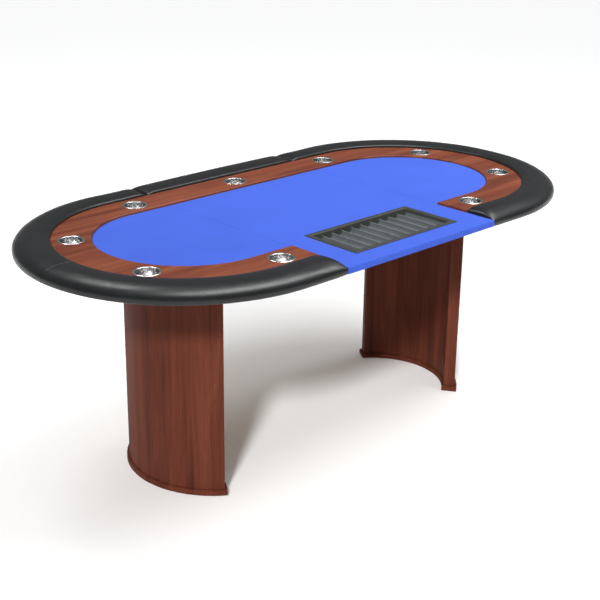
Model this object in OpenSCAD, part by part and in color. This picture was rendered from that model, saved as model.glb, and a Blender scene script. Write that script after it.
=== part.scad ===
// Casino-style poker table for ten players with a dealer's gap.
// X runs along the table, the dealer sits on the -Y side, Z is up.
// The origin is on the floor under the middle of the table. Millimetres.

/* [Table] */
// Overall length
table_l = 2080; // [1960:10:2200]
// Overall width
table_w = 1070; // [1040:10:1120]
// Height from the floor to the crown of the padded rail
table_h = 810; // [760:5:860]
// Distance from the middle of the table to each seam between its sections
seam_x = 340; // [325:5:355]

/* [Top] */
// Height from the underside of the boards to the crown of the rail
top_depth = 42; // [40:1:46]
// Thickness of the boards
board_t = 18; // [16:1:19]
// Thickness of the cloth
felt_t = 2; // [1.5:0.5:2.5]
// Thickness of the racetrack
track_t = 9; // [8:1:10]
// Width of the racetrack
track_w = 124; // [118:1:128]
// Width of the chamfer along the racetrack's inner edge
track_chamfer = 2; // [1:0.5:3]
// Width of the cloth that returns under the dealer's edge
felt_return = 25; // [15:1:40]

/* [Padded rail] */
// Width of the rail
rail_w = 118; // [112:1:120]
// Radius of the rail's outer shoulder
shoulder_r = 31; // [26:1:32]
// Radius of the rail's inner shoulder
inner_r = 10; // [9:1:12]
// Height by which the rail's inner shoulder lies below its crown
inner_drop = 4; // [2:1:6]
// Thickness of the padding outside the boards' edge
pad_edge = 22; // [16:1:24]
// Depth of the padding below the boards
pad_drop = 6; // [0:1:8]
// Thickness of the plywood strip inside the rail
core_t = 12; // [9:1:12]
// Gap between two rail ends at a seam
rail_gap = 4; // [2:1:6]

/* [Cups] */
// Radius of a cup's flange
cup_flange_r = 42.5; // [41:0.5:45]
// Inside radius of a cup
cup_r = 34; // [32:0.5:35]
// Depth of a cup below the racetrack
cup_depth = 50; // [40:1:60]
// Wall thickness of a cup
cup_wall = 1.2; // [0.8:0.1:1.6]
// Distance from the middle of the table to the cups on its straight sides
cup_x = 440; // [420:5:460]
// Angle of the cups on the round ends
cup_angle = 32; // [28:1:36]

/* [Chip tray] */
// Length of the tray's rim
tray_l = 470; // [440:5:500]
// Width of the tray's rim
tray_w = 224; // [200:2:240]
// Distance from the dealer's edge to the tray's rim
tray_inset = 71; // [60:1:80]
// Number of channels
channels = 10; // [8:1:10]
// Width of the rim
tray_rim = 17; // [14:1:20]
// Thickness of the rim
tray_rim_t = 3; // [2:0.5:4]
// Wall thickness of a channel
tray_wall = 2; // [1.5:0.5:3]
// Depth of the ridges between the channels below the cloth
ridge_drop = 8; // [4:1:12]

/* [Legs] */
// Distance from the middle of the table to the outermost point of a leg
leg_x = 690; // [670:5:760]
// Outer radius of a leg
leg_r = 290; // [285:5:330]
// Half of the angle that a leg spans
leg_angle = 55; // [52:1:62]
// Thickness of a leg
leg_t = 40; // [36:1:44]
// Thickness of a leg's bent skins
skin_t = 4; // [3:0.5:5]
// Height of the foot plate
base_t = 18; // [16:1:22]
// Overhang of the foot plate
base_lip = 8; // [6:1:12]
// Thickness of the plate between a leg and the boards
cleat_t = 18; // [16:1:22]
// Width of the cleat's flange, where the bolts go up
cleat_flange = 46; // [40:1:52]
// Thickness of the floor glides
glide_t = 2; // [1:0.5:3]

/* [Latches] */
// Distance from the middle of the table to each latch, along its seam
latch_y = 280; // [260:5:290]
// Distance from the boards down to a latch's pivot
latch_drop = 12; // [12:0.5:14]
// Distance from the pivot to the loop's bar
latch_throw = 8; // [7:0.5:9]

/* [Hidden] */
$fn = 96;

// Colours
wood_colour = [0.50, 0.27, 0.19];
felt_colour = [0.20, 0.33, 0.86];
leather_colour = [0.10, 0.10, 0.10];
board_colour = [0.66, 0.55, 0.41];
steel_colour = [0.76, 0.77, 0.78];
tray_colour = [0.25, 0.26, 0.28];
plastic_colour = [0.09, 0.09, 0.09];

// Plan of the table: two half circles joined by straight sides
end_r = table_w / 2;
end_x = table_l / 2 - end_r;
board_r = end_r - pad_edge;

// Heights
board_z = table_h - top_depth;
board_top = board_z + board_t;
felt_top = board_top + felt_t;
track_top = board_top + track_t;
core_top = board_top + core_t;

// Small amounts
eps = 0.01;
fit = 0.05;

// Racetrack and cups
track_in = rail_w + track_w;
track_mid = rail_w + track_w / 2;
cup_ring = end_r - track_mid;
cup_out_r = cup_r + cup_wall;
cup_hole_r = cup_out_r + 1;
cup_flange_t = 1.6;
cup_flange_edge = 0.6;
cup_flange_bevel = 1.2;
cup_mouth_bevel = 1.5;
cup_bottom_r = 4;
cup_end_x = end_x + cup_ring * cos(cup_angle);
cup_end_y = cup_ring * sin(cup_angle);
cup_at = [
    [-cup_x, -cup_ring], [-cup_end_x, -cup_end_y], [-cup_end_x, cup_end_y],
    [-cup_x, cup_ring], [0, cup_ring], [cup_x, cup_ring],
    [cup_end_x, cup_end_y], [cup_end_x, -cup_end_y], [cup_x, -cup_ring]
];

// Rail
core_out = pad_edge + 2;
core_in = rail_w - 8;
core_short = 12;
rail_end_x = seam_x + rail_gap / 2;
rail_foot_r = 6;
foot_z = board_z - pad_drop;
crown_in = 50;
inner_slope = atan(inner_drop / (rail_w - inner_r - crown_in));

// Chip tray
tray_y = -end_r + tray_inset + tray_w / 2;
channel_pitch = (tray_l - 2 * tray_rim) / channels;
channel_r = channel_pitch / 2 - tray_wall * 0.6;
channel_z = felt_top - ridge_drop;
channel_l = tray_w - 2 * tray_rim;
cutout_l = channel_pitch * channels + 2 * tray_wall;
cutout_w = channel_l + 2 * tray_wall + 2;
well_l = channel_pitch * channels - tray_wall;

// Legs
leg_cx = leg_x - leg_r;
leg_in_r = leg_r - leg_t;
base_z = glide_t;
leg_z0 = base_z + base_t;
cleat_z = board_z - cleat_t;
base_round = 6;
lip_angle = base_lip / leg_r * 180 / PI;
cleat_in_r = leg_in_r - cleat_flange;
bolt_ring = leg_in_r - cleat_flange / 2 - 2;
bolt_angles = [-48, -24, 0, 24, 48];
bolt_r = 4;
bolt_depth = 12;
bolt_head_r = 7.5;
bolt_head_t = 5.3;
washer_r = 8;
washer_t = 1.6;
cleat_inset = 2;
cleat_inset_angle = 1;
screw_angles = [-38, -13, 13, 38];
glide_angles = [-50, -25, 0, 25, 50];
glide_r = 13;
leg_mid_r = leg_r - leg_t / 2;
screw_r = 2.5;
screw_head_r = 5;
screw_head_t = 3;
screw_sink = 0.5;
leg_screw_l = 50;

// Rail screws, up through the boards into the cores
rail_screw_ring = end_r - (core_out + core_in) / 2;
rail_screw_angles = [12, 45, 78];
rail_screw_x = seam_x + 60;
rail_screw_z = core_top - 2;
rail_screw_back = [-250, 0, 250];

// Dowels across the seams
dowel_r = 3.5;
dowel_l = 40;
dowel_y = [-460, -150, 150, 460];
dowel_z = board_z + board_t / 2;

// Latches: one quarter of the table each
latch_side = [[-1, -1], [-1, 1], [1, 1], [1, -1]];
pivot_back = 28;
pivot_z = board_z - latch_drop;
plate_t = 2;
plate_z = latch_drop - plate_t;
plate_back = 24;
plate_l = 40;
plate_half = 11;
keeper_l = 24;
lip_drop = 4;
pivot_r = 2;
wire_r = 1.5;
ear_in = 5;
ear_t = 2;
ear_r = 4;
cheek_in = 8;
cheek_t = 2;
cheek_r = 5;
arm_y = 13.5;
arm_r = 1.2;
lip_x = pivot_back + 10;
lip_t = 2;
lip_half = 10;
bar_x = lip_x + lip_t + wire_r + 0.2;
handle_l = 44;
handle_z = -7;
handle_t = 1.5;
latch_screw_r = 1.75;
latch_screw_head_r = 3.2;
latch_screw_head_t = 1.2;
latch_screw_l = 12;
base_screw_x = [-18, 10];
keeper_screw_x = [pivot_back + 18, pivot_back + 26];

// Points of an arc in a plane
function arc(cx, cy, r, a0, a1, n) =
    [for (i = [0 : n]) let (a = a0 + (a1 - a0) * i / n) [cx + r * cos(a), cy + r * sin(a)]];

// Profiles, drawn as distance from the end circle's centre and height

// Padded rail, from its outer bottom corner over the crown and down the slope to its inner one
module rail_profile() {
    polygon(concat(
        [[end_r - pad_edge, foot_z], [end_r - rail_foot_r, foot_z]],
        arc(end_r - rail_foot_r, foot_z + rail_foot_r, rail_foot_r, -90, 0, 4),
        arc(end_r - shoulder_r, table_h - shoulder_r, shoulder_r, 0, 90, 8),
        [[end_r - crown_in, table_h]],
        arc(end_r - rail_w + inner_r, table_h - inner_drop - inner_r, inner_r, 90 + inner_slope, 180, 5),
        [[end_r - rail_w, board_top], [end_r - pad_edge, board_top]]
    ));
}

module core_profile() {
    translate([end_r - core_in, board_top]) square([core_in - core_out, core_t]);
}

module track_profile() {
    in = end_r - track_in;
    polygon([
        [in, board_top], [end_r - rail_w, board_top], [end_r - rail_w, track_top],
        [in + track_chamfer, track_top], [in, track_top - track_chamfer]
    ]);
}

// Sweeps of a profile round the right end, and along the back
module round_run(a0, a1) {
    translate([end_x, 0, 0]) rotate([0, 0, a0]) rotate_extrude(angle = a1 - a0) children();
}

module back_run(x0, x1) {
    translate([x0, 0, 0]) rotate([90, 0, 90]) linear_extrude(height = x1 - x0) children();
}

// One quarter of the ring: right and back, from the seam at x0 to the end of the table
module quarter_run(x0) {
    round_run(0, 90) children();
    back_run(x0, end_x + eps) children();
}

// Places a shape of the right back quarter in another quarter
module quarter(sx, sy) {
    mirror([sx < 0 ? 1 : 0, 0, 0]) mirror([0, sy < 0 ? 1 : 0, 0]) children();
}

// Holes that several parts share
module cup_holes() {
    for (p = cup_at) translate([p[0], p[1], board_z - 1]) cylinder(r = cup_hole_r, h = top_depth);
}

module rail_screw_places() {
    for (sx = [-1, 1], sy = [-1, 1]) {
        for (a = rail_screw_angles)
            translate([sx * (end_x + rail_screw_ring * cos(a)), sy * rail_screw_ring * sin(a), 0]) children();
        translate([sx * rail_screw_x, sy * rail_screw_ring, 0]) children();
    }
    for (x = rail_screw_back) translate([x, rail_screw_ring, 0]) children();
}

module rail_screw_holes() {
    rail_screw_places() translate([0, 0, board_z - 1])
        cylinder(r = screw_r + fit, h = rail_screw_z + 2 - board_z);
}

module dowel_holes() {
    for (sx = [-1, 1], y = dowel_y)
        translate([sx * seam_x - dowel_l / 2 - 1, y, dowel_z]) rotate([0, 90, 0])
            cylinder(r = dowel_r + fit, h = dowel_l + 2);
}

module leg_places(sx, ring, angles) {
    for (a = angles) translate([sx * (leg_cx + ring * cos(a)), ring * sin(a), 0]) children();
}

module leg_bolt_holes() {
    for (sx = [-1, 1])
        leg_places(sx, bolt_ring, bolt_angles) translate([0, 0, cleat_z - 1])
            cylinder(r = bolt_r + fit, h = cleat_t + bolt_depth + 2);
}

module at_latch(i) {
    s = latch_side[i - 1];
    mirror([s[0] < 0 ? 1 : 0, 0, 0]) translate([seam_x - pivot_back, s[1] * latch_y, pivot_z]) children();
}

module latch_places() {
    for (i = [1 : len(latch_side)]) at_latch(i) children();
}

module latch_screw_holes() {
    latch_places()
        for (x = concat(base_screw_x, keeper_screw_x))
            translate([x, 0, plate_z - 1]) cylinder(r = latch_screw_r + fit, h = latch_screw_l + 2);
}

module board_holes() {
    cup_holes();
    rail_screw_holes();
    dowel_holes();
    leg_bolt_holes();
    latch_screw_holes();
}

module tray_cutout() {
    translate([-cutout_l / 2, tray_y - cutout_w / 2, board_z - 1])
        cube([cutout_l, cutout_w, board_t + felt_t + 2]);
}

// Boards

module end_board(sx) {
    mirror([sx < 0 ? 1 : 0, 0, 0]) translate([0, 0, board_z]) {
        intersection() {
            translate([end_x, 0, 0]) cylinder(r = board_r, h = board_t);
            translate([end_x, -table_w, -1]) cube([table_l, 2 * table_w, board_t + 2]);
        }
        translate([seam_x, -board_r, 0]) cube([end_x - seam_x + eps, 2 * board_r, board_t]);
    }
}

module board_left() {
    color(board_colour) difference() {
        end_board(-1);
        board_holes();
    }
}

module board_right() {
    color(board_colour) difference() {
        end_board(1);
        board_holes();
    }
}

module board_middle() {
    front = end_r - felt_t;
    color(board_colour) difference() {
        translate([-seam_x, -front, board_z]) cube([2 * seam_x, front + board_r, board_t]);
        board_holes();
        tray_cutout();
    }
}

// Cloth

module end_felt(sx) {
    in = end_r - track_in;
    mirror([sx < 0 ? 1 : 0, 0, 0]) translate([0, 0, board_top]) {
        intersection() {
            translate([end_x, 0, 0]) cylinder(r = in, h = felt_t);
            translate([end_x, -table_w, -1]) cube([table_l, 2 * table_w, felt_t + 2]);
        }
        translate([seam_x, -in, 0]) cube([end_x - seam_x + eps, 2 * in, felt_t]);
    }
}

module felt_left() {
    color(felt_colour) end_felt(-1);
}

module felt_right() {
    color(felt_colour) end_felt(1);
}

// The middle cloth wraps down over the dealer's edge and returns under it
module felt_middle() {
    in = end_r - track_in;
    color(felt_colour) difference() {
        union() {
            translate([-seam_x, -end_r, board_top]) cube([2 * seam_x, end_r + in, felt_t]);
            translate([-seam_x, -end_r, board_z - felt_t]) cube([2 * seam_x, felt_t, board_t + felt_t + 1]);
            translate([-seam_x, -end_r, board_z - felt_t]) cube([2 * seam_x, felt_return, felt_t]);
        }
        tray_cutout();
    }
}

// Racetrack

module end_track(sx) {
    difference() {
        for (sy = [-1, 1]) quarter(sx, sy) quarter_run(seam_x) track_profile();
        cup_holes();
    }
}

module racetrack_left() {
    color(wood_colour) end_track(-1);
}

module racetrack_right() {
    color(wood_colour) end_track(1);
}

module racetrack_back() {
    color(wood_colour) difference() {
        back_run(-seam_x, seam_x) track_profile();
        cup_holes();
    }
}

// Padded rail

module rail_core(sx, sy) {
    color(board_colour) difference() {
        quarter(sx, sy) quarter_run(rail_end_x + core_short) core_profile();
        rail_screw_holes();
    }
}

module rail_pad(sx, sy) {
    color(leather_colour) quarter(sx, sy) difference() {
        quarter_run(rail_end_x) rail_profile();
        quarter_run(rail_end_x + core_short) core_profile();
    }
}

module rail_core_back() {
    color(board_colour) difference() {
        back_run(-rail_end_x + rail_gap + core_short, rail_end_x - rail_gap - core_short) core_profile();
        rail_screw_holes();
    }
}

module rail_pad_back() {
    color(leather_colour) difference() {
        back_run(-rail_end_x + rail_gap, rail_end_x - rail_gap) rail_profile();
        back_run(-rail_end_x + rail_gap + core_short, rail_end_x - rail_gap - core_short) core_profile();
    }
}

module rail_core_front_left() rail_core(-1, -1);
module rail_core_back_left() rail_core(-1, 1);
module rail_core_back_right() rail_core(1, 1);
module rail_core_front_right() rail_core(1, -1);
module rail_pad_front_left() rail_pad(-1, -1);
module rail_pad_back_left() rail_pad(-1, 1);
module rail_pad_back_right() rail_pad(1, 1);
module rail_pad_front_right() rail_pad(1, -1);

// Cups

module cup(i) {
    bottom = track_top - cup_depth;
    lip = track_top + cup_flange_t;
    inner_bend = cup_bottom_r - 1;
    color(steel_colour) translate([cup_at[i - 1][0], cup_at[i - 1][1], 0]) rotate_extrude() polygon(concat(
        [[0, bottom], [cup_out_r - cup_bottom_r, bottom]],
        arc(cup_out_r - cup_bottom_r, bottom + cup_bottom_r, cup_bottom_r, -90, 0, 4),
        [[cup_out_r, track_top], [cup_flange_r, track_top], [cup_flange_r, track_top + cup_flange_edge]],
        [[cup_flange_r - cup_flange_bevel, lip], [cup_r + cup_mouth_bevel, lip]],
        [[cup_r, lip - cup_mouth_bevel]],
        arc(cup_r - inner_bend, bottom + cup_wall + inner_bend, inner_bend, 0, -90, 4),
        [[0, bottom + cup_wall]]
    ));
}

// Chip tray: half pipes side by side under a flat rim

module channel(i, r, l) {
    translate([(i - (channels - 1) / 2) * channel_pitch, tray_y + l / 2, channel_z]) rotate([90, 0, 0])
        cylinder(r = r, h = l);
}

module chip_tray() {
    color(tray_colour) difference() {
        union() {
            intersection() {
                for (i = [0 : channels - 1]) channel(i, channel_r + tray_wall, channel_l + 2 * tray_wall);
                translate([-tray_l / 2, tray_y - tray_w / 2, board_z - top_depth])
                    cube([tray_l, tray_w, channel_z - board_z + top_depth]);
            }
            translate([-cutout_l / 2 + 1, tray_y - channel_l / 2 - tray_wall, channel_z - eps])
                cube([cutout_l - 2, channel_l + 2 * tray_wall, felt_top - channel_z + 2 * eps]);
            translate([-tray_l / 2, tray_y - tray_w / 2, felt_top]) cube([tray_l, tray_w, tray_rim_t]);
        }
        for (i = [0 : channels - 1]) channel(i, channel_r, channel_l);
        translate([-well_l / 2, tray_y - channel_l / 2, channel_z]) cube([well_l, channel_l, top_depth]);
    }
}

// Legs

module leg_band(r_in, r_out, z0, z1, half_angle) {
    translate([leg_cx, 0, 0]) rotate([0, 0, -half_angle]) rotate_extrude(angle = 2 * half_angle)
        translate([r_in, z0]) square([r_out - r_in, z1 - z0]);
}

module on_side(sx) {
    mirror([sx < 0 ? 1 : 0, 0, 0]) children();
}

module leg_screw_holes() {
    for (sx = [-1, 1])
        leg_places(sx, leg_mid_r, screw_angles) {
            translate([0, 0, base_z - 1]) cylinder(r = screw_head_r + 0.5, h = screw_head_t + 2);
            translate([0, 0, base_z - 1]) cylinder(r = screw_r + fit, h = leg_screw_l + 2);
            translate([0, 0, board_z - screw_head_t - 1])
                cylinder(r = screw_head_r + 0.5, h = screw_head_t + 2);
            translate([0, 0, board_z - leg_screw_l - 1]) cylinder(r = screw_r + fit, h = leg_screw_l + 2);
        }
}

module leg_core(sx) {
    color(wood_colour) difference() {
        on_side(sx) leg_band(leg_in_r + skin_t, leg_r - skin_t, leg_z0, cleat_z, leg_angle);
        leg_screw_holes();
    }
}

module leg_outer_skin(sx) {
    color(wood_colour) on_side(sx) leg_band(leg_r - skin_t, leg_r, leg_z0, cleat_z, leg_angle);
}

module leg_inner_skin(sx) {
    color(wood_colour) on_side(sx) leg_band(leg_in_r, leg_in_r + skin_t, leg_z0, cleat_z, leg_angle);
}

// Foot plate with rounded top edges
module leg_base(sx) {
    r0 = leg_in_r - base_lip;
    r1 = leg_r + base_lip;
    top = base_z + base_t;
    span = leg_angle + lip_angle;
    color(wood_colour) difference() {
        on_side(sx) translate([leg_cx, 0, 0]) rotate([0, 0, -span]) rotate_extrude(angle = 2 * span)
            polygon(concat(
                [[r0, base_z], [r1, base_z]],
                arc(r1 - base_round, top - base_round, base_round, 0, 90, 4),
                arc(r0 + base_round, top - base_round, base_round, 90, 180, 4)
            ));
        leg_screw_holes();
    }
}

module leg_cleat(sx) {
    color(wood_colour) difference() {
        on_side(sx)
            leg_band(cleat_in_r, leg_r - cleat_inset, cleat_z, board_z, leg_angle - cleat_inset_angle);
        leg_screw_holes();
        leg_bolt_holes();
    }
}

// Hexagon bolts with washers, up through the cleat's flange
module leg_bolts(sx) {
    color(steel_colour) leg_places(sx, bolt_ring, bolt_angles) {
        translate([0, 0, cleat_z - washer_t]) cylinder(r = washer_r, h = washer_t);
        translate([0, 0, cleat_z - washer_t - bolt_head_t])
            cylinder(r = bolt_head_r, h = bolt_head_t + eps, $fn = 6);
        translate([0, 0, cleat_z - eps]) cylinder(r = bolt_r, h = cleat_t + bolt_depth);
    }
}

module floor_glides() {
    color(plastic_colour) for (sx = [-1, 1])
        leg_places(sx, leg_mid_r, glide_angles) cylinder(r = glide_r, h = glide_t);
}

// Screws between each leg and its foot plate and cleat
module leg_screws() {
    color(steel_colour) for (sx = [-1, 1])
        leg_places(sx, leg_mid_r, screw_angles) {
            translate([0, 0, base_z + screw_sink]) cylinder(r = screw_head_r, h = screw_head_t);
            translate([0, 0, base_z + 1]) cylinder(r = screw_r, h = leg_screw_l - 2);
            translate([0, 0, board_z - screw_head_t - screw_sink])
                cylinder(r = screw_head_r, h = screw_head_t);
            translate([0, 0, board_z - leg_screw_l + 1]) cylinder(r = screw_r, h = leg_screw_l - 2);
        }
}

module rail_screws() {
    color(steel_colour) rail_screw_places() {
        translate([0, 0, board_z - screw_head_t]) cylinder(r = screw_head_r, h = screw_head_t);
        translate([0, 0, board_z - eps]) cylinder(r = screw_r, h = rail_screw_z - board_z);
    }
}

module alignment_dowels() {
    color(board_colour) for (sx = [-1, 1], y = dowel_y)
        translate([sx * seam_x - dowel_l / 2, y, dowel_z]) rotate([0, 90, 0])
            cylinder(r = dowel_r, h = dowel_l);
}

// Draw latches, drawn about the lever's pivot with the keeper towards +X

module cross_rod(x, z, r, half) {
    translate([x, half, z]) rotate([90, 0, 0]) cylinder(r = r, h = 2 * half);
}

module latch_base() {
    translate([-plate_back, -plate_half, plate_z]) cube([plate_l, 2 * plate_half, plate_t]);
    for (s = [-1, 1]) {
        y0 = s > 0 ? ear_in : -ear_in - ear_t;
        translate([-ear_r, y0, 0]) cube([2 * ear_r, ear_t, plate_z + eps]);
        translate([0, y0 + ear_t, 0]) rotate([90, 0, 0]) cylinder(r = ear_r, h = ear_t);
    }
    cross_rod(0, 0, pivot_r, cheek_in + cheek_t + 0.8);
}

module latch_keeper() {
    translate([lip_x, -lip_half, plate_z]) cube([keeper_l, 2 * lip_half, plate_t]);
    translate([lip_x, -lip_half, -lip_drop]) cube([lip_t, 2 * lip_half, plate_z + lip_drop + eps]);
}

module latch_lever() {
    half = cheek_in + cheek_t;
    difference() {
        union() {
            for (s = [-1, 1]) {
                y0 = s > 0 ? cheek_in : -half;
                translate([-latch_throw - 6, y0, handle_z + handle_t - eps])
                    cube([latch_throw + 6, cheek_t, cheek_r - handle_z - handle_t]);
                translate([0, y0 + cheek_t, 0]) rotate([90, 0, 0]) cylinder(r = cheek_r, h = cheek_t);
            }
            translate([-handle_l, -half, handle_z]) cube([handle_l - 3, 2 * half, handle_t]);
            cross_rod(-handle_l, handle_z + handle_t - 2, 2, half);
        }
        cross_rod(0, 0, pivot_r + fit, half + 1);
        cross_rod(-latch_throw, 0, wire_r + fit, half + 1);
    }
}

module latch_loop() {
    cross_rod(-latch_throw, 0, wire_r, arm_y + wire_r);
    cross_rod(bar_x, 0, wire_r, arm_y + wire_r);
    for (s = [-1, 1])
        translate([-latch_throw, s * arm_y, 0]) rotate([0, 90, 0])
            cylinder(r = arm_r, h = bar_x + latch_throw);
}

module latch_bases() {
    color(steel_colour) difference() {
        latch_places() latch_base();
        latch_screw_holes();
    }
}

module latch_keepers() {
    color(steel_colour) difference() {
        latch_places() latch_keeper();
        latch_screw_holes();
    }
}

module latch_screws() {
    color(steel_colour) latch_places()
        for (x = concat(base_screw_x, keeper_screw_x)) {
            translate([x, 0, plate_z - latch_screw_head_t])
                cylinder(r = latch_screw_head_r, h = latch_screw_head_t);
            translate([x, 0, plate_z - eps]) cylinder(r = latch_screw_r, h = latch_screw_l);
        }
}

board_left();
board_middle();
board_right();
felt_left();
felt_middle();
felt_right();
racetrack_left();
racetrack_back();
racetrack_right();
rail_core_front_left();
rail_core_back_left();
rail_core_back();
rail_core_back_right();
rail_core_front_right();
rail_pad_front_left();
rail_pad_back_left();
rail_pad_back();
rail_pad_back_right();
rail_pad_front_right();
cup(1);  // cup_1
cup(2);  // cup_2
cup(3);  // cup_3
cup(4);  // cup_4
cup(5);  // cup_5
cup(6);  // cup_6
cup(7);  // cup_7
cup(8);  // cup_8
cup(9);  // cup_9
chip_tray();
leg_core(-1);  // leg_core_left
leg_core(1);  // leg_core_right
leg_outer_skin(-1);  // leg_outer_skin_left
leg_outer_skin(1);  // leg_outer_skin_right
leg_inner_skin(-1);  // leg_inner_skin_left
leg_inner_skin(1);  // leg_inner_skin_right
leg_base(-1);  // leg_base_left
leg_base(1);  // leg_base_right
leg_cleat(-1);  // leg_cleat_left
leg_cleat(1);  // leg_cleat_right
leg_bolts(-1);  // leg_bolts_left
leg_bolts(1);  // leg_bolts_right
floor_glides();
leg_screws();
rail_screws();
alignment_dowels();
latch_bases();
latch_keepers();
latch_screws();
color(steel_colour) at_latch(1) latch_lever();  // latch_lever_1
color(steel_colour) at_latch(2) latch_lever();  // latch_lever_2
color(steel_colour) at_latch(3) latch_lever();  // latch_lever_3
color(steel_colour) at_latch(4) latch_lever();  // latch_lever_4
color(steel_colour) at_latch(1) latch_loop();  // latch_loop_1
color(steel_colour) at_latch(2) latch_loop();  // latch_loop_2
color(steel_colour) at_latch(3) latch_loop();  // latch_loop_3
color(steel_colour) at_latch(4) latch_loop();  // latch_loop_4
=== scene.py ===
"""Looks of the poker table: leather rail, cloth, wood finish, steel cups and a moulded chip tray."""
import math
from collections import namedtuple

import bmesh
import bpy
import numpy as np
from mathutils import Matrix, Vector


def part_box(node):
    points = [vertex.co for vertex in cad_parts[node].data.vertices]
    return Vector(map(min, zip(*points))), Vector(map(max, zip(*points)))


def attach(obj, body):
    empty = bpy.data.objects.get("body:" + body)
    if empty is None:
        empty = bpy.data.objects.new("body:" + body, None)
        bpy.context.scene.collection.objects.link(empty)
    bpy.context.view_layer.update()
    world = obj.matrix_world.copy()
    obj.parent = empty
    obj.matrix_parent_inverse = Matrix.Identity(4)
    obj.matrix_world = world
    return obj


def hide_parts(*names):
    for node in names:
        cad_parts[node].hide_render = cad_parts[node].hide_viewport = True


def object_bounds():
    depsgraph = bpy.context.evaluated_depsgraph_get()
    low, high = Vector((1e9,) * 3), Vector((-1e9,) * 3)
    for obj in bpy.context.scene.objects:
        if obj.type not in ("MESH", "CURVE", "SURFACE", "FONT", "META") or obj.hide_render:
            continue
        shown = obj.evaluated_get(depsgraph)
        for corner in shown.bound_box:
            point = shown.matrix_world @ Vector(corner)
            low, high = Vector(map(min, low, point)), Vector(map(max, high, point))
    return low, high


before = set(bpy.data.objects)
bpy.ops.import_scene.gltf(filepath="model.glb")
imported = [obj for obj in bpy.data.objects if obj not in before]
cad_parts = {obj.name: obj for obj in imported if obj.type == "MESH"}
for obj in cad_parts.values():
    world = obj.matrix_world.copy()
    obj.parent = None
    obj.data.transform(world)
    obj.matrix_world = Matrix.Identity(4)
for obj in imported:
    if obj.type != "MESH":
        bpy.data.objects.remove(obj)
cad_low, cad_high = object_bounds()

# ---------------------------------------------------------------- sizes, from the frame, in metres

MM = 0.001
TABLE = "table"  # the root body

# the table's ends are half circles of radius END_R about x = -END_X and END_X
END_R = (cad_high.y - cad_low.y) / 2
END_X = (cad_high.x - cad_low.x) / 2 - END_R
CROWN_Z = cad_high.z  # the top of the padded rail

BOARD_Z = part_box("board_left")[0].z
BOARD_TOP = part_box("board_left")[1].z
BOARD_EDGE = END_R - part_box("board_left")[1].y  # how far in the boards end
FELT_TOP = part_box("felt_left")[1].z
FELT_T = FELT_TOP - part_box("felt_left")[0].z
TRACK_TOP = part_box("racetrack_back")[1].z
TRACK_IN_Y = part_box("racetrack_back")[0].y
SEAM_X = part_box("racetrack_back")[1].x  # the seams of the top are at -SEAM_X and SEAM_X

RAIL_W = END_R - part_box("racetrack_back")[1].y
PAD_END_X = -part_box("rail_pad_front_left")[1].x
PAD_BACK_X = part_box("rail_pad_back")[1].x
PAD_FOOT_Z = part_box("rail_pad_back")[0].z
PAD_GAP = 0.6 * MM  # from the leather to the board, the racetrack and the CAD pad's foot

# over the last stretch of a pad, reach, its section shrinks to these shares of its height and width
PadEnd = namedtuple("PadEnd", "reach height width rings_mm")
SLOPED_END = PadEnd(38 * MM, 0.18, 0.95, rings_mm=(0, 1, 3, 6, 11, 18, 27, 37, 48))
SEAM_END = PadEnd(4 * MM, 0.94, 0.988, rings_mm=(0, 1, 2.4, 4, 8, 16, 30, 44))
END_ZONE = 56 * MM  # within this of an end, only the rings of rings_mm are made
END_ROUNDING = 2.2  # exponent of the curve that the section shrinks by: 2 is an ellipse

FELT_GAP = 0.3 * MM  # from the cloth to the racetrack
FELT_DIP = 0.9 * MM  # how far the cloth is drawn down at a seam
FELT_DIP_W = 2.2 * MM  # and within what distance of it
FELT_BEND = 3 * MM  # radius of the cloth's two turns at the dealer's edge
SEAM_COLUMNS_MM = (0.2, 1.0, 2.4, 6)  # where the cloth's first columns lie, from the seam

TRAY_RIM = 17 * MM


# ---------------------------------------------------------------- mesh helpers


def add_mesh(name, points, faces, material, smooth=True):
    """A new object with these points and faces, linked to the scene."""
    mesh = bpy.data.meshes.new(name)
    mesh.from_pydata([tuple(p) for p in points], [], faces)
    mesh.validate()
    for polygon in mesh.polygons:
        polygon.use_smooth = smooth
    piece = bpy.data.objects.new(name, mesh)
    bpy.context.scene.collection.objects.link(piece)
    mesh.materials.append(material)
    return piece


def grid_faces(rows, columns, wrap=False, skip=lambda i, j: False):
    """Quads over a grid of points. wrap closes it along the columns, skip says which quads to leave out."""
    faces = []
    for i in range(rows - 1):
        for j in range(columns if wrap else columns - 1):
            if not skip(i, j):
                here, beside = i * columns + j, i * columns + (j + 1) % columns
                faces.append((here, beside, beside + columns, here + columns))
    return faces


def apply_modifiers(piece):
    """Makes the piece's evaluated mesh its own, so that no modifier is left on it."""
    evaluated = piece.evaluated_get(bpy.context.evaluated_depsgraph_get())
    mesh = bpy.data.meshes.new_from_object(evaluated)
    piece.modifiers.clear()
    piece.data = mesh
    return piece


def weld(piece, distance):
    """Joins the points that are closer together than this."""
    work = bmesh.new()
    work.from_mesh(piece.data)
    bmesh.ops.remove_doubles(work, verts=work.verts, dist=distance)
    work.to_mesh(piece.data)
    work.free()


def face_out(piece):
    """Turns every face outward."""
    work = bmesh.new()
    work.from_mesh(piece.data)
    bmesh.ops.recalc_face_normals(work, faces=work.faces)
    work.to_mesh(piece.data)
    work.free()
    return piece


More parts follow.
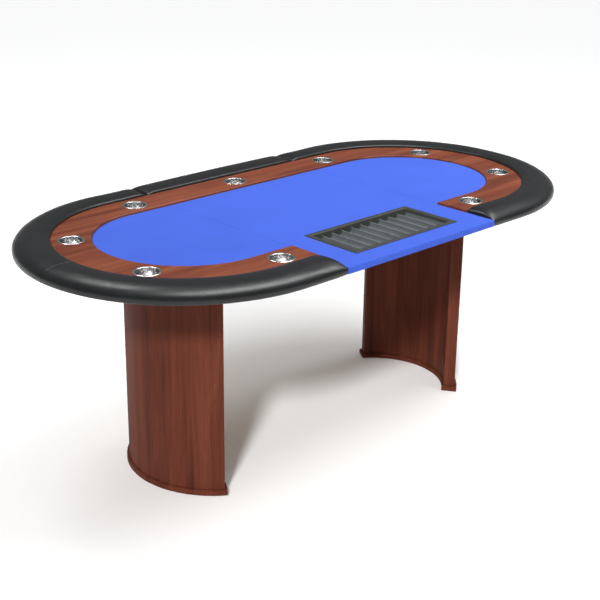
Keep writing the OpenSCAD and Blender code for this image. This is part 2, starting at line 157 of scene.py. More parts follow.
def lathe(name, profile, centre, material, steps=96):
    """Turns a profile of (radius, height) about a vertical axis through centre."""
    points = []
    for k in range(steps):
        a = 2 * math.pi * k / steps
        points += [(centre[0] + r * math.cos(a), centre[1] + r * math.sin(a), z) for r, z in profile]
    faces = []
    count = len(profile)
    for k in range(steps):
        for i in range(count - 1):
            here, beside = k * count + i, ((k + 1) % steps) * count + i
            faces.append((here, beside, beside + 1, here + 1))
    piece = add_mesh(name, points, faces, material)
    weld(piece, 0.01 * MM)
    return face_out(piece)


def arc(centre_a, centre_b, radius, start, end, steps):
    """Points of an arc in a plane, angles in degrees."""
    angles = [math.radians(start + (end - start) * i / steps) for i in range(steps + 1)]
    return [(centre_a + radius * math.cos(a), centre_b + radius * math.sin(a)) for a in angles]


# ---------------------------------------------------------------- materials

NOISE_RANGE = (0.3, 0.7)  # where most values of a noise texture lie


class Paint:
    """A procedural material: a Principled shader with short calls for the nodes that feed it."""

    def __init__(self, name, colour, roughness, metallic=0.0, specular=0.5):
        self.material = bpy.data.materials.new(name)
        self.material.use_nodes = True
        self.nodes = self.material.node_tree.nodes
        self.links = self.material.node_tree.links
        self.shader = self.nodes["Principled BSDF"]
        self.set(base_color=(*colour, 1), roughness=roughness)
        self.set(metallic=metallic, specular_ior_level=specular)
        self.coordinates = self.nodes.new("ShaderNodeTexCoord").outputs["Object"]

    def set(self, **values):
        """Sets inputs of the shader, each by its name in lower case with underscores."""
        for key, value in values.items():
            wanted = key.replace("_", " ").lower()
            socket = next(s for s in self.shader.inputs if s.name.lower() == wanted)
            socket.default_value = value

    def link(self, output, socket):
        self.links.new(output, self.shader.inputs[socket])

    def scaled(self, scale=(1, 1, 1)):
        """The object's coordinates, scaled per axis."""
        node = self.nodes.new("ShaderNodeMapping")
        node.inputs["Scale"].default_value = scale
        self.links.new(self.coordinates, node.inputs["Vector"])
        return node.outputs["Vector"]

    def noise(self, vector, scale=1.0, detail=4.0, roughness=0.5, distortion=0.0):
        node = self.nodes.new("ShaderNodeTexNoise")
        self.links.new(vector, node.inputs["Vector"])
        node.inputs["Scale"].default_value = scale
        node.inputs["Detail"].default_value = detail
        node.inputs["Roughness"].default_value = roughness
        node.inputs["Distortion"].default_value = distortion
        return node.outputs["Fac"]

    def cells(self, vector, scale):
        """The distance to the edge of the nearest of many irregular cells."""
        node = self.nodes.new("ShaderNodeTexVoronoi")
        node.feature = "DISTANCE_TO_EDGE"
        self.links.new(vector, node.inputs["Vector"])
        node.inputs["Scale"].default_value = scale
        return node.outputs["Distance"]

    def ramp(self, value, stops):
        """A colour ramp over (position, colour) stops."""
        node = self.nodes.new("ShaderNodeValToRGB")
        ramp = node.color_ramp
        for k, (position, colour) in enumerate(stops):
            stop = ramp.elements[k] if k < 2 else ramp.elements.new(position)
            stop.position = position
            stop.color = (*colour, 1)
        self.links.new(value, node.inputs["Fac"])
        return node.outputs["Color"]

    def spread(self, value, low, high, start=0.0, end=1.0):
        """A value mapped from start..end to low..high."""
        node = self.nodes.new("ShaderNodeMapRange")
        for key, number in (("From Min", start), ("From Max", end), ("To Min", low), ("To Max", high)):
            node.inputs[key].default_value = number
        self.links.new(value, node.inputs["Value"])
        return node.outputs["Result"]

    def times(self, colour, value):
        """A colour multiplied by a value."""
        node = self.nodes.new("ShaderNodeVectorMath")
        node.operation = "SCALE"
        self.links.new(colour, node.inputs[0])
        self.links.new(value, node.inputs["Scale"])
        return node.outputs["Vector"]

    def product(self, a, b):
        """Two values multiplied."""
        node = self.nodes.new("ShaderNodeMath")
        node.operation = "MULTIPLY"
        self.links.new(a, node.inputs[0])
        self.links.new(b, node.inputs[1])
        return node.outputs["Value"]

    def bump(self, height, strength, distance, under=None):
        node = self.nodes.new("ShaderNodeBump")
        node.inputs["Strength"].default_value = strength
        node.inputs["Distance"].default_value = distance
        self.links.new(height, node.inputs["Height"])
        if under is not None:
            self.links.new(under, node.inputs["Normal"])
        return node.outputs["Normal"]


def leather():
    """Black artificial leather: fine pebbled grain with a soft gloss."""
    paint = Paint("leather_black", (0.010, 0.0105, 0.011), 0.33, specular=0.42)
    plain = paint.scaled()
    tone = paint.spread(paint.noise(plain, 9, 3), 0.86, 1.14, *NOISE_RANGE)
    mottle = paint.spread(paint.noise(plain, 160, 2), 0.93, 1.07, *NOISE_RANGE)
    speckle = paint.noise(plain, 420, 2)
    base = paint.ramp(speckle, [(0.3, (0.0075, 0.0081, 0.0086)), (0.7, (0.0105, 0.0113, 0.0120))])
    paint.link(paint.times(base, paint.product(tone, mottle)), "Base Color")
    paint.link(paint.spread(paint.noise(plain, 36, 3), 0.29, 0.38, *NOISE_RANGE), "Roughness")
    grain = paint.bump(paint.cells(plain, 620), 0.32, 0.12 * MM)
    creases = paint.bump(paint.noise(plain, 55, 3, 0.6), 0.12, 0.8 * MM, grain)
    paint.link(creases, "Normal")
    return paint.material


def felt():
    """Blue speed cloth: a fine fibrous nap with a slight mottle."""
    paint = Paint("felt_blue", (0.045, 0.099, 0.51), 0.92, specular=0.06)
    plain = paint.scaled()
    fibres = paint.noise(plain, 1500, 2, 0.7)
    cloud = paint.spread(paint.noise(plain, 7, 4), 0.96, 1.04, *NOISE_RANGE)
    base = paint.ramp(fibres, [(0.32, (0.039, 0.087, 0.47)), (0.68, (0.052, 0.112, 0.55))])
    paint.link(paint.times(base, cloud), "Base Color")
    paint.set(sheen_weight=0.04, sheen_roughness=0.5)
    paint.link(paint.spread(fibres, 0.86, 0.97), "Roughness")
    paint.link(paint.bump(fibres, 0.25, 0.15 * MM), "Normal")
    return paint.material


def wood(name, grain, dark, mid, light, roughness, specular):
    """Mahogany finish. grain is the axis, 0 to 2, that its streaks run along."""
    paint = Paint(name, mid, roughness, specular=specular)

    def stretched(along, across):
        return paint.scaled(tuple(along if axis == grain else across for axis in range(3)))

    bands = paint.noise(stretched(1.1, 22), detail=6, roughness=0.62, distortion=0.6)
    colour = paint.ramp(bands, [(0.30, dark), (0.5, mid), (0.72, light)])
    streaks = paint.noise(stretched(3.5, 210), detail=4, roughness=0.7)
    pores = paint.noise(stretched(26, 900), detail=2, roughness=0.6)
    streak_shade = paint.spread(streaks, 0.80, 1.14, *NOISE_RANGE)
    pore_shade = paint.spread(pores, 0.80, 1.0, 0.34, 0.46)
    paint.link(paint.times(colour, paint.product(streak_shade, pore_shade)), "Base Color")
    paint.link(paint.spread(streaks, roughness - 0.05, roughness + 0.07, *NOISE_RANGE), "Roughness")
    paint.link(paint.bump(pores, 0.16, 0.10 * MM), "Normal")
    return paint.material


def metal(name, colour, roughness, axis_scale, strength):
    """Brushed or polished metal, whose fine marks are stretched by axis_scale."""
    paint = Paint(name, colour, roughness, metallic=1.0)
    marks = paint.noise(paint.scaled(axis_scale), detail=3, roughness=0.6)
    paint.link(paint.spread(marks, roughness * 0.8, roughness * 1.3, *NOISE_RANGE), "Roughness")
    paint.link(paint.ramp(marks, [(0.3, tuple(c * 0.9 for c in colour)), (0.7, colour)]), "Base Color")
    paint.link(paint.bump(marks, strength, 0.05 * MM), "Normal")
    return paint.material


def plastic(name, colour, roughness):
    """Moulded plastic with a fine spark-eroded texture."""
    paint = Paint(name, colour, roughness)
    plain = paint.scaled()
    texture = paint.noise(plain, 900, 2)
    tone = paint.noise(plain, 14, 3)
    stops = [(0.3, tuple(c * 0.92 for c in colour)), (0.7, tuple(c * 1.08 for c in colour))]
    shade = paint.spread(tone, 0.94, 1.06, *NOISE_RANGE)
    paint.link(paint.times(paint.ramp(texture, stops), shade), "Base Color")
    paint.link(paint.spread(tone, roughness - 0.05, roughness + 0.05, *NOISE_RANGE), "Roughness")
    paint.link(paint.bump(texture, 0.2, 0.08 * MM), "Normal")
    return paint.material


def fibreboard():
    """Sanded fibreboard of the boards, the dowels and the rail's cores."""
    paint = Paint("fibreboard", (0.36, 0.25, 0.15), 0.8, specular=0.2)
    plain = paint.scaled()
    speck = paint.noise(plain, 700, 4, 0.7)
    cloud = paint.spread(paint.noise(plain, 6, 3), 0.9, 1.08, *NOISE_RANGE)
    base = paint.ramp(speck, [(0.3, (0.28, 0.19, 0.11)), (0.7, (0.42, 0.30, 0.18))])
    paint.link(paint.times(base, cloud), "Base Color")
    paint.link(paint.bump(speck, 0.25, 0.12 * MM), "Normal")
    return paint.material


LEATHER = leather()
FELT = felt()
TRACK_SHADES = ((0.090, 0.020, 0.010), (0.165, 0.041, 0.019), (0.260, 0.078, 0.036))
TRACK_WOOD = wood("mahogany_track", 0, *TRACK_SHADES, roughness=0.40, specular=0.18)
LEG_SHADES = ((0.070, 0.019, 0.011), (0.115, 0.031, 0.017), (0.158, 0.045, 0.026))
LEG_WOOD = wood("mahogany_leg", 2, *LEG_SHADES, roughness=0.58, specular=0.08)
CUP_STEEL = metal("cup_steel", (0.78, 0.78, 0.78), 0.21, (60, 60, 400), 0.003)
ZINC = metal("zinc_plate", (0.62, 0.63, 0.65), 0.32, (300, 300, 300), 0.12)
TRAY_PLASTIC = plastic("tray_plastic", (0.034, 0.038, 0.032), 0.38)
# a lighter copy of the tray's own plastic for its channels: painted light, standing in for the gloss that
# the curved channels catch
TRAY_CHANNELS_PAINTED_LIGHT = plastic("tray_channels_painted_light", (0.095, 0.108, 0.113), 0.30)
GLIDE_PLASTIC = plastic("glide_plastic", (0.02, 0.02, 0.02), 0.5)
BOARD = fibreboard()

CAD_LOOKS = {
    "board": BOARD,
    "rail_core": BOARD,
    "alignment_dowels": BOARD,
    "racetrack": TRACK_WOOD,
    "leg_": LEG_WOOD,
    "leg_bolts": ZINC,
    "leg_screws": ZINC,
    "rail_screws": ZINC,
    "latch": ZINC,
    "floor_glides": GLIDE_PLASTIC,
    "cup": CUP_STEEL,
    "chip_tray": TRAY_PLASTIC,
    "felt": FELT,
    "rail_pad": LEATHER,
}


def dress_cad_nodes():
    """Gives each CAD node the material of the longest prefix that its name begins with."""
    for name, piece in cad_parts.items():
        prefix = max((p for p in CAD_LOOKS if name.startswith(p)), key=len)
        piece.data.materials.clear()
        piece.data.materials.append(CAD_LOOKS[prefix])


# ---------------------------------------------------------------- padded rail


def quarter_stations(start_x, straight_step, arc_steps):
    """Stations along a quarter of the table's edge, each as (x, y, inward x, inward y)."""
    count = max(2, round((END_X - start_x) / straight_step))
    stations = [(start_x + (END_X - start_x) * i / count, END_R, 0.0, -1.0) for i in range(count)]
    for i in range(arc_steps + 1):
        a = math.pi / 2 * (1 - i / arc_steps)
        stations.append((END_X + END_R * math.cos(a), END_R * math.sin(a), -math.cos(a), -math.sin(a)))
    return stations


def rail_profile():
    """Closed outline of the pad: (distance in from the outer edge, height, how free it is to swell)."""
    top = CROWN_Z - 1.4 * MM
    foot = PAD_FOOT_Z + PAD_GAP
    inner_w = RAIL_W - PAD_GAP
    inner_r, inner_drop = 9 * MM, 3 * MM
    shoulder_w, shoulder_h = 64 * MM, 33 * MM
    lip_w = 22 * MM
    lip_low, lip_high = BOARD_Z - 2.2 * MM, BOARD_Z - 0.4 * MM
    # up from the board on the inner side, and round the inner edge
    points = [(inner_w, BOARD_TOP + PAD_GAP, 0), (inner_w + 0.2 * MM, BOARD_TOP + 5 * MM, 0.4)]
    points += [(w, z, 1) for w, z in arc(inner_w - inner_r, top - inner_drop - inner_r, inner_r, 0, 78, 5)]
    # outward over the top, which rises a little to the shoulder
    for share in (0.25, 0.5, 0.75):
        w = (inner_w - inner_r) * (1 - share) + shoulder_w * share
        points.append((w, top - inner_drop * (1 - share) ** 2, 1))
    # down the broad outer roll, a quarter of an ellipse
    for w, z in arc(0, 0, 1, 95, 180, 10):
        points.append((shoulder_w * (1 + w) + 0.5 * MM, top - shoulder_h * (1 - z), 1))
    # round the foot
    points += [(1 * MM, foot + 7 * MM, 0.7), (3 * MM, foot + 2.5 * MM, 0.4), (7 * MM, foot + 0.3 * MM, 0.2)]
    points += [(11 * MM, foot, 0), (BOARD_EDGE - 5 * MM, foot + 0.8 * MM, 0)]
    # the lip stapled under the board, and back up past the board's edge
    points += [(BOARD_EDGE + 3 * MM, lip_low, 0), (BOARD_EDGE + lip_w, lip_low + 0.6 * MM, 0)]
    points += [(BOARD_EDGE + lip_w + 0.5 * MM, lip_high, 0), (BOARD_EDGE + 2 * MM, lip_high, 0)]
    points += [(BOARD_EDGE - 0.5 * MM, BOARD_Z + 1 * MM, 0), (BOARD_EDGE - 0.4 * MM, BOARD_TOP - 1 * MM, 0)]
    return points + [(BOARD_EDGE + 8 * MM, BOARD_TOP + 0.3 * MM, 0)]


def end_share(distance, end):
    """The section's share of its full height and width, at a distance from an end of the pad."""
    left = 1 - min(1.0, distance / end.reach)
    rise = (1 - left**END_ROUNDING) ** (1 / END_ROUNDING)
    return end.height + (1 - end.height) * rise, end.width + (1 - end.width) * rise


def ring_marks(along, ends):
    """How far along the pad its rings lie: close together near both ends, to round them."""
    total = along[-1]
    between = along[(along > END_ZONE) & (along < total - END_ZONE)]
    marks = [d * MM for d in ends[0].rings_mm] + list(between)
    return marks + [total - d * MM for d in reversed(ends[1].rings_mm)]


def rail_pad(name, node, stations, ends, side=(1, 1)):
    """A leather pad swept along stations, swollen by a short cloth run, that stands for its CAD solid."""
    profile = rail_profile()
    columns = len(profile)
    middle_w, foot_z = RAIL_W / 2, BOARD_TOP + 1 * MM
    steps = [math.dist(a[:2], b[:2]) for a, b in zip(stations, stations[1:])]
    along = np.concatenate([[0], np.cumsum(steps)])
    marks = ring_marks(along, ends)
    xs, ys, inward_x, inward_y = (np.interp(marks, along, [s[k] for s in stations]) for k in range(4))
    points, free = [], []
    for k, mark in enumerate(marks):
        shares = (end_share(mark, ends[0]), end_share(along[-1] - mark, ends[1]))
        height, width = (min(pair) for pair in zip(*shares))
        for w, z, loose in profile:
            if z > foot_z:
                w, z = middle_w + (w - middle_w) * width, foot_z + (z - foot_z) * height
            elif z < BOARD_Z:
                z = BOARD_Z + (z - BOARD_Z) * height
            x, y = xs[k] + inward_x[k] * w, ys[k] + inward_y[k] * w
            points.append((side[0] * x, side[1] * y, z))
            free.append(loose if 0 < k < len(marks) - 1 else 0)
    faces = grid_faces(len(marks), columns, wrap=True)
    for ring in (0, len(marks) - 1):
        close_end(points, free, faces, ring * columns, columns)
    piece = face_out(add_mesh(name, points, faces, LEATHER))
    swell(piece, free, columns)
    smooth = piece.modifiers.new("smooth", "SUBSURF")
    smooth.levels = smooth.render_levels = 2
    apply_modifiers(piece)
    for polygon in piece.data.polygons:
        polygon.use_smooth = True
    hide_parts(node)
    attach(piece, TABLE)


def close_end(points, free, faces, first, columns):
    """Closes an end of the pad with two smaller rings and a point in the middle."""
    ring = [Vector(p) for p in points[first : first + columns]]
    middle = sum(ring, Vector()) / columns
    following = [(j, (j + 1) % columns) for j in range(columns)]
    outer = first
    for share in (0.8, 0.4):
        start = len(points)
        points.extend(tuple(middle + (p - middle) * share) for p in ring)
        free.extend([0] * columns)
        faces.extend((outer + j, outer + after, start + after, start + j) for j, after in following)
        outer = start
    points.append(tuple(middle))
    free.append(0)
    faces.extend((outer + j, outer + after, len(points) - 1) for j, after in following)


def swell(piece, free, columns):
    """Blows the leather up a little over its foam with Cloth, holding it where it is stapled."""
    cap, frames, smoothings = 1.6 * MM, 14, 12
    held = piece.vertex_groups.new(name="held")
    for index, loose in enumerate(free):
        held.add([index], 1 - loose, "REPLACE")
    rest = np.array([v.co for v in piece.data.vertices])
    cloth = piece.modifiers.new("cloth", "CLOTH").settings
    cloth.quality = 6
    cloth.mass = 0.4
    cloth.tension_stiffness = 18
    cloth.compression_stiffness = 18
    cloth.bending_stiffness = 2.5
    cloth.use_pressure = True
    cloth.uniform_pressure_force = 2.5
    cloth.shrink_min = 0.003
    cloth.vertex_group_mass = "held"
    cloth.effector_weights.gravity = 0
    scene = bpy.context.scene
    for number in range(1, frames + 1):
        scene.frame_set(number)
    evaluated = piece.evaluated_get(bpy.context.evaluated_depsgraph_get())
    push = np.array([v.co for v in evaluated.data.vertices]) - rest
    piece.modifiers.clear()
    scene.frame_set(1)
    # the leather is drawn tight along the rail, so its swelling changes slowly from ring to ring
    rings = len(push) // columns
    body = push[: rings * columns].reshape(rings, columns, 3)
    for _ in range(smoothings):
        wider = np.concatenate([body[:1], body, body[-1:]])
        body[:] = (wider[:-2] + 2 * wider[1:-1] + wider[2:]) / 4
    length = np.linalg.norm(push, axis=1, keepdims=True)
    push *= np.minimum(1.0, cap / np.maximum(length, 1e-9))
    for vertex, place in zip(piece.data.vertices, rest + push):
        vertex.co = place
    piece.vertex_groups.clear()


def build_rail():
    """Four pads round the corners, mirrored from one quarter, and the straight one at the back."""
    quarter = quarter_stations(PAD_END_X, 16 * MM, 54)
    for name, side in (
        ("front_left", (-1, -1)),
        ("back_left", (-1, 1)),
        ("back_right", (1, 1)),
        ("front_right", (1, -1)),
    ):
        rail_pad("leather_" + name, "rail_pad_" + name, quarter, (SLOPED_END, SEAM_END), side)
    count = 42
    back = [(-PAD_BACK_X + 2 * PAD_BACK_X * i / count, END_R, 0.0, -1.0) for i in range(count + 1)]
    rail_pad("leather_back", "rail_pad_back", back, (SLOPED_END, SLOPED_END))


# ---------------------------------------------------------------- cloth


def felt_dip(x, seams):
    """How far the cloth dips at x, where it is drawn down at one of these seams."""
    near = min(abs(x - seam) for seam in seams)
    return FELT_DIP * max(0.0, 1 - near / FELT_DIP_W) ** 2


def end_felt(name, node, side):
    """The cloth of one end, a half circle with a straight part up to the seam."""
    radius = TRACK_IN_Y - FELT_GAP
    columns = [SEAM_X + d * MM for d in SEAM_COLUMNS_MM]
    columns += list(np.linspace(SEAM_X + 20 * MM, END_X, 8))
    half = [radius] * len(columns)
    round_steps, rows = 40, 41
    for i in range(1, round_steps + 1):
        a = math.pi / 2 * i / round_steps
        columns.append(END_X + radius * math.sin(a))
        half.append(max(radius * math.cos(a), 0.4 * MM))
    points = []
    for x, h in zip(columns, half):
        z = FELT_TOP - felt_dip(x, [SEAM_X])
        points += [(side * x, h * (2 * j / (rows - 1) - 1), z) for j in range(rows)]
    piece = add_mesh(name, points, grid_faces(len(columns), rows), FELT)
    strips = zip(columns, columns[1:], half, half[1:])
    area = float(sum((b - a) * (p + q) for a, b, p, q in strips))
    finish_felt(piece, node)


def finish_felt(piece, node):
    """Gives the sheet its thickness, downward, hides the CAD node that it stands for and hangs it on the
    table.
    """
    solid = piece.modifiers.new("thickness", "SOLIDIFY")
    solid.thickness = FELT_T - 0.2 * MM
    solid.offset = 1 if piece.data.polygons[0].normal.z < 0 else -1
    apply_modifiers(piece)
    face_out(piece)
    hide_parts(node)
    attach(piece, TABLE)


def middle_path(y_cut):
    """The middle cloth's course as (y, z): over the board, down the dealer's edge and back under it."""
    front, under, bend = -END_R, BOARD_Z - FELT_T, FELT_BEND
    ys = [TRACK_IN_Y - FELT_GAP, *np.linspace(TRACK_IN_Y - 12 * MM, y_cut[1], 14)]
    ys += [*np.linspace(y_cut[1], y_cut[0], 9)[1:], *np.linspace(y_cut[0], front + bend, 6)[1:-1]]
    path = [(y, FELT_TOP) for y in ys]
    path += arc(front + bend, FELT_TOP - bend, bend, 90, 180, 6)
    path += [(front, z) for z in np.linspace(FELT_TOP - bend, under + bend, 6)[1:-1]]
    path += arc(front + bend, under + bend, bend, 180, 270, 6)
    return path + [(front + d * MM, under) for d in (12, 25)]


def middle_felt():
    """The middle cloth with the tray's cut-out, and a flap tucked in at each end of the dealer's edge."""
    tray_low, tray_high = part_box("chip_tray")
    inset = 16 * MM
    x_cut = tray_high.x - inset
    y_cut = (tray_low.y + inset, tray_high.y - inset)
    path = middle_path(y_cut)
    edge = [SEAM_X - d * MM for d in SEAM_COLUMNS_MM] + [x_cut + 40 * MM]
    xs = sorted([*(-x for x in edge), *edge, *np.linspace(-x_cut, x_cut, 25)])
    points = []
    for y, z in path:
        on_top = z > FELT_TOP - FELT_BEND
        points += [(x, y, z - felt_dip(x, [-SEAM_X, SEAM_X]) if on_top else z) for x in xs]
    slack = 1e-9
    cut = [k for k, (y, z) in enumerate(path) if z == FELT_TOP and y_cut[0] - slack <= y <= y_cut[1] + slack]

    def in_cut(i, j):
        return cut[0] <= i < cut[-1] and -x_cut - slack <= xs[j] and xs[j + 1] <= x_cut + slack

    faces = grid_faces(len(path), len(xs), skip=in_cut)
    # a flap takes in the rows at the dealer's edge, and reaches back from that edge by these distances
    edge_rows = [k for k, (y, z) in enumerate(path) if y < 2.2 * MM - END_R]
    tuck = (3 * MM, 20 * MM)
    for side, column in ((-1, 0), (1, len(xs) - 1)):
        first = len(points)
        points += [(side * (SEAM_X + 1.1 * MM), d - END_R, path[k][1]) for k in edge_rows for d in tuck]
        for n, k in enumerate(edge_rows[:-1]):
            a, b = k * len(xs) + column, (k + 1) * len(xs) + column
            c, d = first + 2 * n, first + 2 * n + 2
            faces += [(a, b, d, c), (c, d, d + 1, c + 1)]
    piece = face_out(add_mesh("cloth_middle", points, faces, FELT))
    finish_felt(piece, "felt_middle")


def build_cloth():
    """The three cloths, one on each board."""
    end_felt("cloth_left", "felt_left", -1)
    end_felt("cloth_right", "felt_right", 1)
    middle_felt()


# ---------------------------------------------------------------- cups


def cup_profile(flange_r, bottom, top):
    """The cup's section as (radius, height), from the middle of its underside round to the middle inside."""
    bore = flange_r - 8.5 * MM
    wall = bore + 1.0 * MM
    foot = 4 * MM
    # the underside with its hollow, the outer wall and the flange's flat underside
    profile = [(0, bottom + 0.8 * MM), (wall - 9 * MM, bottom + 0.8 * MM), (wall - 7 * MM, bottom)]
    profile += arc(wall - foot, bottom + foot, foot, -90, 0, 6)
    profile += [(wall, TRACK_TOP - 1 * MM), (wall + 0.4 * MM, TRACK_TOP + 0.05 * MM)]
    profile += [(flange_r - 1 * MM, TRACK_TOP + 0.05 * MM), (flange_r - 0.1 * MM, TRACK_TOP + 0.25 * MM)]
    # the flange's dome, and the lip turned down into the bore
    dome_w, dome_h, lip = 7 * MM, 1.2 * MM, 1.2 * MM
    for u in np.linspace(0, 1, 10):
        profile.append((flange_r - 0.25 * MM - dome_w * u, top - dome_h * (2 * u - 1) ** 2))
    profile += arc(bore + lip, top - 2.6 * MM, lip, 80, 180, 5)
    # the tapered inside and its rounded corner, and the stepped bottom
    profile += [(bore - 0.3 * MM, (top + bottom) / 2), (bore - 0.8 * MM, bottom + 7 * MM)]
    profile += arc(bore - 6.8 * MM, bottom + 7.6 * MM, 6 * MM, 0, -90, 7)
    profile += [(bore - 12 * MM, bottom + 1.6 * MM), (bore - 13 * MM, bottom + 2.4 * MM)]
    return profile + [(7 * MM, bottom + 2.4 * MM), (5 * MM, bottom + 2.0 * MM), (0, bottom + 2.0 * MM)]


def build_cups():
    """Drop-in steel cups with a domed flange, one in each hole."""
    for number in range(1, 10):
        node = f"cup_{number}"
        low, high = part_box(node)
        profile = cup_profile((high.x - low.x) / 2, low.z, high.z)
        piece = lathe(f"steel_{node}", profile, (low + high) / 2, CUP_STEEL)
        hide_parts(node)
        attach(piece, node)


# ---------------------------------------------------------------- chip tray


def tray_columns(low_x, high_x, floor_z, channels=10):
    """Columns across the tray as (x, height), with no height on the rim, and the height of the ridges."""
    pitch = (high_x - low_x - 2 * TRAY_RIM) / channels
    radius = pitch / 2 - 1.2 * MM
    ridge_z = floor_z + radius
    rim = [d * MM for d in (0, 0.4, 1.6)] + [TRAY_RIM - d * MM for d in (2, 0.6, 0)]
    columns = [(low_x + d, None) for d in rim]
    for channel in range(channels):
        middle = low_x + TRAY_RIM + pitch * (channel + 0.5)
        for degrees in range(-88, 89, 11):
            a = math.radians(degrees)
            columns.append((middle + radius * math.sin(a), floor_z + radius * (1 - math.cos(a))))
        if channel < channels - 1:
            columns.append((middle + pitch / 2, ridge_z + 0.7 * MM))
    return columns + [(high_x - d, None) for d in reversed(rim)], ridge_z


def tray_rows(low_y, high_y):
    """Rows along the tray: close together over the rim and the rounded ends of the channels."""
    near = [d * MM for d in (0, 0.4, 1.6)] + [TRAY_RIM - d * MM for d in (2, 0.6)]
    near += [TRAY_RIM + d * MM for d in (0, 0.5, 1.4, 3, 5.5)]
    middle = np.linspace(low_y + TRAY_RIM + 14 * MM, high_y - TRAY_RIM - 14 * MM, 9)
    return [low_y + d for d in near] + list(middle) + [high_y - d for d in reversed(near)]


def build_tray():
    """A moulded tray: round channels with rounded ridges, recessed under a flat rim with a rolled edge. The
    channels get a lighter copy of its plastic, which is painted light.
    """
    low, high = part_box("chip_tray")
    columns, ridge_z = tray_columns(low.x, high.x, low.z + 2 * MM)
    rows = tray_rows(low.y, high.y)
    inset = Vector((TRAY_RIM, TRAY_RIM, 0))
    inner_low, inner_high = low + inset, high - inset
    slack = 0.1 * MM  # a point this near the rim's inner edge counts as on it

    def rim_height(x, y):
        """The flat rim, rolled down at its outer edge and rounded at its inner one."""
        edge = min(x - low.x, high.x - x, y - low.y, high.y - y)
        mouth = max(inner_low.x - x, x - inner_high.x, inner_low.y - y, y - inner_high.y)
        drop = 0.0
        if edge < 1.5 * MM:
            drop = (0.9 if edge > 0.2 * MM else 2.6) * MM * (1 - edge / (1.6 * MM))
        if -slack < mouth < 1.9 * MM:
            drop = max(drop, 1.0 * MM * (1 - max(0.0, mouth) / (1.9 * MM)))
        return high.z - drop

    points = []
    for y in rows:
        wall = min(y - inner_low.y, inner_high.y - y)
        for x, z in columns:
            if z is None or wall < -slack:
                z = rim_height(x, y)
            elif wall > slack:
                z += (ridge_z + 3 * MM - z) * max(0.0, 1 - wall / (5.5 * MM)) ** 2
            else:
                z = high.z - 1.6 * MM
            points.append((x, y, z))
    piece = add_mesh("tray_moulded", points, grid_faces(len(rows), len(columns)), TRAY_PLASTIC)
    solid = piece.modifiers.new("wall", "SOLIDIFY")
    solid.thickness = 1.6 * MM
    solid.offset = -1
    apply_modifiers(piece)
    # the faces down in the channels take the lighter copy of the plastic, a painted highlight for their
    # gloss
    piece.data.materials.append(TRAY_CHANNELS_PAINTED_LIGHT)
    for face in piece.data.polygons:
        x, y, z = face.center
        within_x = inner_low.x < x < inner_high.x
        within_y = inner_low.y + 5 * MM < y < inner_high.y - 5 * MM
        if within_x and within_y and z < ridge_z + 0.9 * MM:
            face.material_index = 1
    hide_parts("chip_tray")
    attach(piece, "chip_tray")


# ---------------------------------------------------------------- stage


def build_floor():
    """A pale floor, and far out a pale ring that fills the picture above the floor's edge."""
    size = 60
    floor = Paint("floor_pale", (0.97, 0.97, 0.97), 0.8, specular=0.1)
    floor.set(emission_color=(1, 1, 1, 1), emission_strength=0.06)
    corners = [(-size, -size, 0), (size, -size, 0), (size, size, 0), (-size, size, 0)]
    add_mesh("floor", corners, [(0, 1, 2, 3)], floor.material, smooth=False)
    pale = Paint("backdrop_pale", (0, 0, 0), 1.0, specular=0.0)
    pale.set(emission_color=(1, 1, 1, 1), emission_strength=1.2)
    sides = 64
    outline = arc(0, 0, size - 2, 0, 360 - 360 / sides, sides - 1)
    points = [(x, y, z) for z in (-1, size) for x, y in outline]
    backdrop = add_mesh("backdrop", points, grid_faces(2, sides, wrap=True), pale.material)
    backdrop.visible_diffuse = backdrop.visible_glossy = backdrop.visible_shadow = False


def build_world():
    """A dim sky with a bright soft patch almost overhead, longer along the table than across it."""
    world = bpy.data.worlds.new("studio")
    bpy.context.scene.world = world
    world.use_nodes = True
    sky, links = world.node_tree.nodes, world.node_tree.links
    sky["Background"].inputs["Color"].default_value = (0.98, 0.99, 1, 1)
    away = sky.new("ShaderNodeVectorMath")
    away.operation = "SUBTRACT"
    away.inputs[1].default_value = (0.28, -0.10, 0.95)
    flattened = sky.new("ShaderNodeVectorMath")
    flattened.operation = "MULTIPLY"
    flattened.inputs[1].default_value = (1, 1.9, 1)
    distance = sky.new("ShaderNodeVectorMath")
    distance.operation = "LENGTH"
    patch = sky.new("ShaderNodeMapRange")
    patch.interpolation_type = "SMOOTHSTEP"
    for key, number in (("From Min", 0.45), ("From Max", 1.05), ("To Min", 1.05), ("To Max", 0.17)):
        patch.inputs[key].default_value = number
    links.new(sky.new("ShaderNodeTexCoord").outputs["Generated"], away.inputs[0])
    links.new(away.outputs["Vector"], flattened.inputs[0])
    links.new(flattened.outputs["Vector"], distance.inputs[0])
    links.new(distance.outputs["Value"], patch.inputs["Value"])
    links.new(patch.outputs["Result"], sky["Background"].inputs["Strength"])


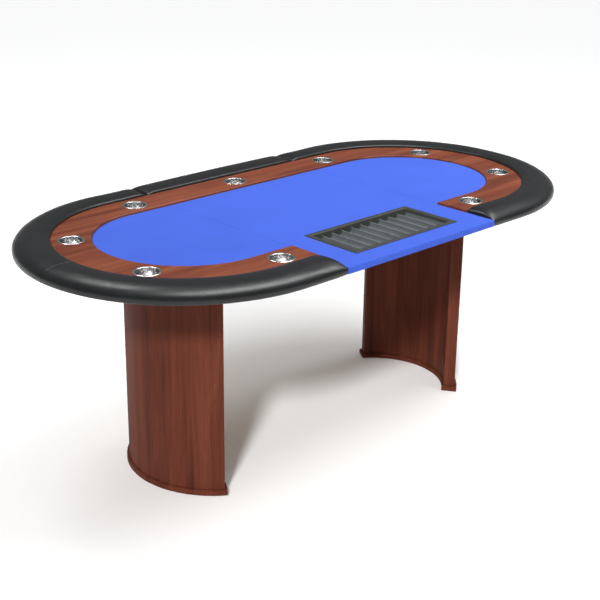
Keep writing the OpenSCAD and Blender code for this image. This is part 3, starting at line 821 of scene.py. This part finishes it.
def add_light(name, kind, energy, place, aim, size):
    """A lamp at place that shines at aim. size is a sun's angle, or the two sides of an area lamp."""
    data = bpy.data.lights.new(name, kind)
    data.energy = energy
    if kind == "AREA":
        data.shape = "RECTANGLE"
        data.size, data.size_y = size
    else:
        data.angle = size
    lamp = bpy.data.objects.new(name, data)
    lamp.location = place
    lamp.rotation_mode = "QUATERNION"
    lamp.rotation_quaternion = (Vector(aim) - Vector(place)).to_track_quat("-Z", "Y")
    bpy.context.scene.collection.objects.link(lamp)
    return lamp


def build_lights():
    """A sun from the front left for the shadows, and soft boxes overhead for the fill and the gloss."""
    key = add_light("key", "SUN", 2.9, (-8.1, -5.8, 7.4), (0, 0, 0.4), math.radians(7))
    key.visible_glossy = False
    fill = add_light("fill_box", "AREA", 125, (1.7, -1.0, 4.2), (0.4, -0.5, 0.78), (3.2, 1.0))
    fill.visible_glossy = False
    gloss = add_light("gloss_box", "AREA", 165, (0.8, -0.8, 4.2), (0.8, -0.8, 0.78), (4.4, 1.3))
    gloss.visible_diffuse = False
    add_light("back_box", "AREA", 30, (-0.6, 1.8, 3.9), (0, 0, 0.78), (1.0, 1.0))


def build_camera():
    """The camera, in front of the table and to its left, looking down at it, with plain sRGB colours."""
    bpy.context.scene.view_settings.view_transform = "Standard"
    camera = bpy.data.objects.new("camera", bpy.data.cameras.new("camera"))
    bpy.context.scene.collection.objects.link(camera)
    bpy.context.scene.camera = camera
    camera.data.sensor_width = 36
    camera.data.lens = 75.0
    camera.data.clip_end = 200
    yaw, pitch, roll = 0.7733, 0.3693, 0.0141
    forward = Vector((math.cos(pitch) * math.sin(yaw), math.cos(pitch) * math.cos(yaw), -math.sin(pitch)))
    right = Vector((math.cos(yaw), -math.sin(yaw), 0))
    up = right.cross(forward)
    across = math.cos(roll) * right + math.sin(roll) * up
    upward = -math.sin(roll) * right + math.cos(roll) * up
    turn = Matrix((across, upward, -forward)).transposed().to_4x4()
    camera.matrix_world = Matrix.Translation((-2.8208, -2.8742, 2.0036)) @ turn


dress_cad_nodes()
build_floor()
build_world()
build_lights()
build_camera()
build_rail()
build_cloth()
build_cups()
build_tray()
